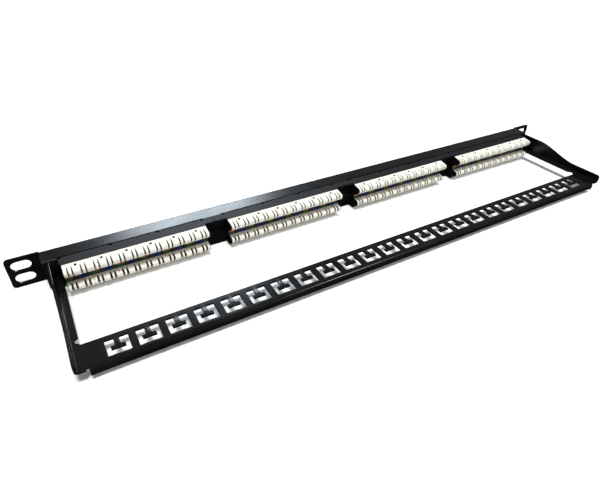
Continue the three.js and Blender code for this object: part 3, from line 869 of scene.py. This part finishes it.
class TieBarSettings(bpy.types.PropertyGroup):
    gauge: length_setting("Gauge", "Thickness of the bar's sheet", 1.2)
    bend: length_setting("Bend radius", "Outer radius of the folds", 2.0)
    edge: length_setting("Edge rounding", "How far the painted edges are rounded", 0.2)
    ties: bpy.props.IntProperty(name="Tie windows", description="Windows for cable ties along the bar", default=24,
                                min=1)
    tie_pitch: length_setting("Tie pitch", "Distance between neighbouring windows", 16.86)
    lift: length_setting("Tongue lift", "How far the tongues' heads are pressed up out of the deck", 0.35)
    colour: colour_setting("Colour", "Powder coat of the bar", "0c0c0d")
    screw: colour_setting("Screw colour", "Black zinc on the two screws", "3a3b3e")


class PATCHPANEL_OT_tie_bar(bpy.types.Operator):
    """Folds the tie bar: a deck of tie windows with tongues, a hook down its rear edge and an arm at each end."""
    bl_idname = "patch_panel.tie_bar"
    bl_label = "Tie bar"

    # Lines across a window, measured back from the deck's front edge.
    front, stem_foot, stem_knee, head_front, head_rear, rear = 3.7, 5.5, 7.5, 9.3, 12.1, 15.8
    top = 8.4  # the deck's upper side
    depth = 20.3  # from the deck's front edge to the hook's rear face
    ledge_in, hook_in, corner_in = 5.8, 7.3, 0.6  # from the bar's end or rear to its ledge, hook and rear corner
    relief_fore, relief_radius = 3.4, 2.4  # the round relief ahead of the deck, and its radius
    fall_start, fall_end, lip = 36.0, 74.0, 14.0  # where the arms' walls fall, and the height they fall to

    def execute(self, context):
        sizes = context.scene.patch_panel_bar
        coat = powder_coat("powder_coated_bar", sizes.colour, 0.2)
        self.low, self.high = span("cable_bar")
        self.inner = self.high.y - self.depth  # the deck's front edge
        bend = sizes.bend / MM
        fold = self.high.y - bend
        steps = (0.0, self.front, self.stem_foot, self.stem_knee, self.head_front, self.head_rear, self.rear,
                 fold - 0.8 - self.inner)
        self.deck = [(self.inner + s, self.top) for s in steps] + arc((fold, self.top - bend), bend, 90, 0, 6)
        self.deck.append((self.high.y, self.low.z))
        tiles = in_rows(self.tile(sizes), coat, sizes.ties, sizes.tie_pitch / MM, weld=0.01)
        ends = Sheet()
        for side in (-1, 1):
            self.end(ends, side, sizes)
        bar = joined("tie_bar", [tiles, ends.made("ends")])
        broken_edges(thickened(bar, sizes.gauge), sizes.edge)
        finished(bar, coat, ["cable_bar"])
        # Black zinc plating over steel: dark, metallic, a little cloudy.
        zinc = plated_metal("black_zinc_plated_steel", sizes.screw, 0.32, 0.3)
        for side in ("left", "right"):
            self.tab(side, coat, sizes)
            screw = moulded_copy(f"bar_screw_{side}", f"pan_screw_{side}", 0.18 * MM)
            finished(screw, zinc, [f"bar_screw_{side}"])
        return {"FINISHED"}

    def tile(self, sizes):
        """One window's stretch of the deck, its tongue pressed up in a soft step."""
        half, window, head, stem = sizes.tie_pitch / MM / 2, 6.3, 4.0, 1.6
        columns = [-half, -window, -head, -stem, 0.0, stem, head, window, half]
        lifts = {self.stem_foot: 0.3, self.stem_knee: 0.85, self.head_front: 1.0, self.head_rear: 0.9}

        def place(x, point):
            y, z = point
            part = next((v for s, v in lifts.items() if abs(y - self.inner - s) < 0.01), 0.0)
            if abs(x) < window - 0.1:
                z += part * sizes.lift / MM * (1.0 if abs(x) < head - 0.1 else 0.7)
            return x, y, z

        def kept(i, j):
            x, y = abs(columns[i] + columns[i + 1]) / 2, (self.deck[j][0] + self.deck[j + 1][0]) / 2 - self.inner
            if x > window or y < self.front or y > self.rear:
                return True
            if y < self.head_front:
                return x < stem
            return y < self.head_rear and x < head

        sheet = Sheet()
        sheet.grid(columns, self.deck, place, kept)
        return sheet.made("tile")

    def wall_top(self, y):
        """Height of an arm's wall: full at the panel, falling in an S to a low lip with a rounded rear corner."""
        high, low, start, end = self.high.z, self.lip, self.fall_start, self.fall_end
        rear, corner = self.high.y - self.corner_in, 2.2
        if y <= start:
            return high
        if y >= end:
            over = max(0.0, y - (rear - corner))
            return low - corner + sqrt(max(0.0, corner * corner - over * over))
        a, b = 0.0, 1.0
        for _ in range(40):
            t = (a + b) / 2
            a, b = (t, b) if bezier(t, start, start + 14, end - 12, end) < y else (a, t)
        return bezier(t, high, high - 1, low, low)

    def end(self, sheet, side, sizes):
        """From the last window to the end of the bar: the deck's end, the ledge, the fold and the arm's wall."""
        gauge, bend = sizes.gauge / MM, sizes.bend / MM
        outer = self.high.x
        ledge, hook_end = outer - self.ledge_in, outer - self.hook_in
        start = sizes.ties * sizes.tie_pitch / MM / 2
        flat = [p for p in self.deck if p[0] <= self.high.y - bend + 0.01]

        def columns(values):
            return values if side > 0 else [-v for v in reversed(values)]

        sheet.grid(columns([start, (start + hook_end) / 2, hook_end]), self.deck, on_path)
        sheet.grid(columns([hook_end, ledge]), flat, on_path)
        # Rows of corners along the arm: its front, the wall's fall, the round relief, the deck, the rear corner.
        relief, radius = self.inner - self.relief_fore, self.relief_radius
        fall = self.fall_end - 0.1 - self.fall_start
        rows = [self.low.y, self.low.y + 2, self.low.y + 4, 27.0]
        rows += [self.fall_start + fall * k / 14 for k in range(15)]
        rows += [relief + radius * sin(radians(a)) for a in (-90, -60, -30, 0, 30, 60, 90)][1:]
        rows += [p[0] for p in flat]
        rear = self.high.y - self.corner_in
        rows += [rear - 0.8, rear - 0.3, rear]
        rows = sorted(set(round(r, 4) for r in rows))
        inner_radius = bend - gauge
        section = [("ledge", 0.0), ("ledge", 1.0)] + [("arc", k / 4) for k in (1, 2, 3, 4)]
        section += [("wall", f) for f in (0.3, 0.65, 1.0)]

        def place(key, y):
            kind, part = key
            if kind == "ledge":
                bite = sqrt(max(0.0, radius ** 2 - (y - relief) ** 2)) - 0.2
                inner_edge = ledge + max(0.0, bite)
                x, z = inner_edge + (outer - bend - inner_edge) * part, self.top
            elif kind == "arc":
                turned = radians(-90 + 90 * part)
                x = outer - bend + inner_radius * cos(turned)
                z = self.top + inner_radius + inner_radius * sin(turned)
            else:
                x, z = outer - gauge, self.top + inner_radius
                z += (self.wall_top(y) - z) * part
            return side * x, y, z

        order = section if side > 0 else list(reversed(section))

        def kept(i, j):
            middle = (rows[j] + rows[j + 1]) / 2
            kinds = (order[i][0], order[i + 1][0])
            return middle > self.low.y + 4 or kinds == ("wall", "wall") or set(kinds) == {"wall", "arc"}

        sheet.grid(order, rows, place, kept)

    def tab(self, side, coat, sizes):
        """The ear at the front of an arm, bent in to take its screw."""
        low, high = span(f"bar_screw_{side}")
        x, z = (low.x + high.x) / 2, (low.z + high.z) / 2
        sign = 1 if side == "right" else -1
        plate = Sheet()
        near, far = sorted((sign * (self.high.x - self.ledge_in), sign * (self.high.x - 0.1)))
        plate.block((near, self.low.y, z - 3.1), (far, self.low.y + sizes.gauge / MM, z + 6.8))
        drill = Sheet()
        drill.turned(1.8, lambda a, b, y: (x + a, y, z + b), (self.low.y - 1, self.low.y + 3), 16)
        piece = less(outward(plate.made(f"bar_tab_{side}")), outward(drill.made("drill")))
        finished(broken_edges(piece, sizes.edge), coat)


# --- the stage

class StageSettings(bpy.types.PropertyGroup):
    floor: colour_setting("Floor", "Light table under the panel", "eeeeee")
    glow: bpy.props.FloatProperty(name="Glow", description="How strongly the light table shines from below",
                                  default=0.12, min=0.0)
    lens: bpy.props.FloatProperty(name="Lens", description="Focal length for a 36 mm wide sensor, in millimetres",
                                  default=28.11)


class PATCHPANEL_OT_stage(bpy.types.Operator):
    """Lays the floor and sets the lights and the camera."""
    bl_idname = "patch_panel.stage"
    bl_label = "Stage"

    # The camera stands behind the panel's right end, above it: its place, and where its right and up point.
    camera_place = (0.19693, 0.23745, 0.20334)
    camera_right, camera_up = (-0.8686, 0.4951, 0.0173), (-0.2805, -0.5202, 0.8067)

    def execute(self, context):
        sizes = context.scene.patch_panel_stage
        self.floor(sizes)
        # The key leans towards the camera's side, so that most shadows fall behind the pieces that throw them.
        key = bpy.data.lights.new("overhead", "SUN")
        key.energy, key.angle = 3.6, radians(17)
        overhead = linked("overhead", key)
        overhead.rotation_euler = (radians(-13), 0.0, 0.0)
        overhead.visible_glossy = False
        # Two softboxes draw the gloss: one in front on the top flange, one past the left end on the hook's fold.
        blue = (0.8, 0.91, 1.0)
        self.lamp("flange_glow", (-0.17, -1.13, 0.70), (0.125, -0.043, 0.022), 0.46, 0.22, 5.4, blue)
        self.lamp("fold_glow", (-0.4, 0.35, 0.8), (0.03, 0.05, 0.008), 0.16, 0.16, 2.4, blue)
        world = bpy.data.worlds.new("studio")
        world.use_nodes = True
        tree = world.node_tree
        tree.nodes.clear()
        # A pale room above the table and a dark one below it, so that upright black faces stay black.
        where = add(tree, "ShaderNodeTexCoord")
        parts = add(tree, "ShaderNodeSeparateXYZ", None, {"Vector": (where, "Generated")})
        level = add(tree, "ShaderNodeMapRange",
                    {"From Min": -0.1, "From Max": 0.1, "To Min": 0.03, "To Max": 0.14}, {"Value": (parts, "Z")})
        sky = add(tree, "ShaderNodeBackground", {"Color": (1.0, 1.0, 1.0, 1.0)}, {"Strength": (level, "Result")})
        add(tree, "ShaderNodeOutputWorld", None, {"Surface": (sky, 0)})
        context.scene.world = world
        context.scene.view_settings.view_transform = "Standard"
        self.camera(context, sizes)
        return {"FINISHED"}

    def floor(self, sizes):
        mesh = bpy.data.meshes.new("floor")
        mesh.from_pydata([(-4, -4, 0), (4, -4, 0), (4, 4, 0), (-4, 4, 0)], [], [(0, 1, 2, 3)])
        # Matt opal acrylic with a faint tooth, lit from below so that shadows on it stay pale.
        material, tree, here = blank("opal_acrylic")
        tooth = add(tree, "ShaderNodeTexNoise", {"Scale": grain(0.8), "Detail": 3.0}, here)
        tint = add(tree, "ShaderNodeMix", {6: sizes.floor, 7: times(sizes.floor, 0.97)}, {0: (tooth, "Fac")},
                   data_type="RGBA")
        shaded(material, {"Roughness": 0.9, "Specular IOR Level": 0.2, "Emission Color": (1.0, 1.0, 1.0, 1.0),
                          "Emission Strength": sizes.glow}, (tint, 2))
        mesh.materials.append(material)
        floor = linked("floor", mesh)
        # Black paint would mirror the bright floor and turn grey; dark cards do the same job in a studio.
        floor.visible_glossy = False

    def lamp(self, name, place, aim, width, height, power, colour):
        """A rectangular softbox that looks at a point."""
        light = bpy.data.lights.new(name, "AREA")
        light.color = colour
        light.shape = "RECTANGLE"
        light.size, light.size_y, light.energy = width, height, power
        lamp = linked(name, light)
        lamp.location = place
        lamp.rotation_euler = (Vector(aim) - Vector(place)).to_track_quat("-Z", "Y").to_euler()

    def camera(self, context, sizes):
        camera = bpy.data.cameras.new("camera")
        camera.lens = sizes.lens
        camera.sensor_width = 36.0
        camera.clip_start = 0.01
        view = linked("camera", camera)
        right, up = Vector(self.camera_right).normalized(), Vector(self.camera_up).normalized()
        back = right.cross(up).normalized()
        axes = (right, back.cross(right), back, Vector(self.camera_place))
        view.matrix_world = Matrix([[axis[i] for axis in axes] for i in range(3)] + [[0.0, 0.0, 0.0, 1.0]])
        context.scene.camera = view


# --- the add-on

SETTINGS = (
    ("patch_panel_front", FrontSheetSettings),
    ("patch_panel_mouldings", MouldingSettings),
    ("patch_panel_rows", PunchRowSettings),
    ("patch_panel_sockets", SocketSettings),
    ("patch_panel_prints", PrintSettings),
    ("patch_panel_bar", TieBarSettings),
    ("patch_panel_stage", StageSettings),
)
OPERATORS = (
    PATCHPANEL_OT_stage,
    PATCHPANEL_OT_front_sheet,
    PATCHPANEL_OT_mouldings,
    PATCHPANEL_OT_punch_rows,
    PATCHPANEL_OT_sockets,
    PATCHPANEL_OT_prints,
    PATCHPANEL_OT_tie_bar,
)


class PATCHPANEL_PT_pieces(bpy.types.Panel):
    """Lists the pieces of the patch panel and their sizes and colours."""
    bl_idname = "PATCHPANEL_PT_pieces"
    bl_label = "Patch panel"
    bl_space_type = "VIEW_3D"
    bl_region_type = "UI"
    bl_category = "Patch panel"

    def draw(self, context):
        for operator in OPERATORS:
            self.layout.operator(operator.bl_idname)
        for name, group in SETTINGS:
            box = self.layout.box()
            for key in group.__annotations__:
                box.prop(getattr(context.scene, name), key)


def register():
    for name, group in SETTINGS:
        bpy.utils.register_class(group)
        setattr(bpy.types.Scene, name, bpy.props.PointerProperty(type=group))
    for operator in OPERATORS:
        bpy.utils.register_class(operator)
    bpy.utils.register_class(PATCHPANEL_PT_pieces)


def unregister():
    bpy.utils.unregister_class(PATCHPANEL_PT_pieces)
    for operator in reversed(OPERATORS):
        bpy.utils.unregister_class(operator)
    for name, group in reversed(SETTINGS):
        delattr(bpy.types.Scene, name)
        bpy.utils.unregister_class(group)


def main():
    register()
    bpy.ops.patch_panel.stage()
    bpy.ops.patch_panel.front_sheet()
    bpy.ops.patch_panel.mouldings()
    bpy.ops.patch_panel.punch_rows()
    bpy.ops.patch_panel.sockets()
    bpy.ops.patch_panel.prints()
    bpy.ops.patch_panel.tie_bar()


if __name__ == "__main__":
    main()
